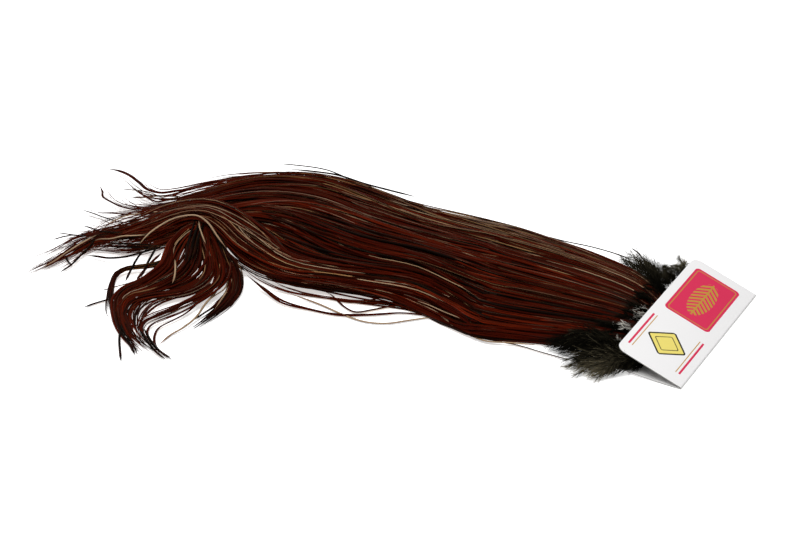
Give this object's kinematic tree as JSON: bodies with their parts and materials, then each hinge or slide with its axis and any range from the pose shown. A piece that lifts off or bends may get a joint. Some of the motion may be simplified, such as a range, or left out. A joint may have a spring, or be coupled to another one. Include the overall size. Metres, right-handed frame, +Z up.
{
  "type": "rooster saddle",
  "caption": "Dried rooster saddle pelt of long curling brown hackles and dark down, clamped at its front end in a folded header card, as sold for tying fishing flies.",
  "frame": {"origin": "centre of the header card's lower panel, on its underside, which rests on the table", "axes": "+X along the table from the feather tips towards the card, +Y across the table away from the hooked tips, +Z up"},
  "size_m": [0.4882, 0.2858, 0.028],
  "materials": {
    "feathers": "glossy dark red-brown hackles with tan shafts and near-black down",
    "card": "white coated card with crimson and yellow print"
  },
  "bodies": {
    "root": {"pelt": "feathers", "header_card": "card"}
  },
  "joints": []
}
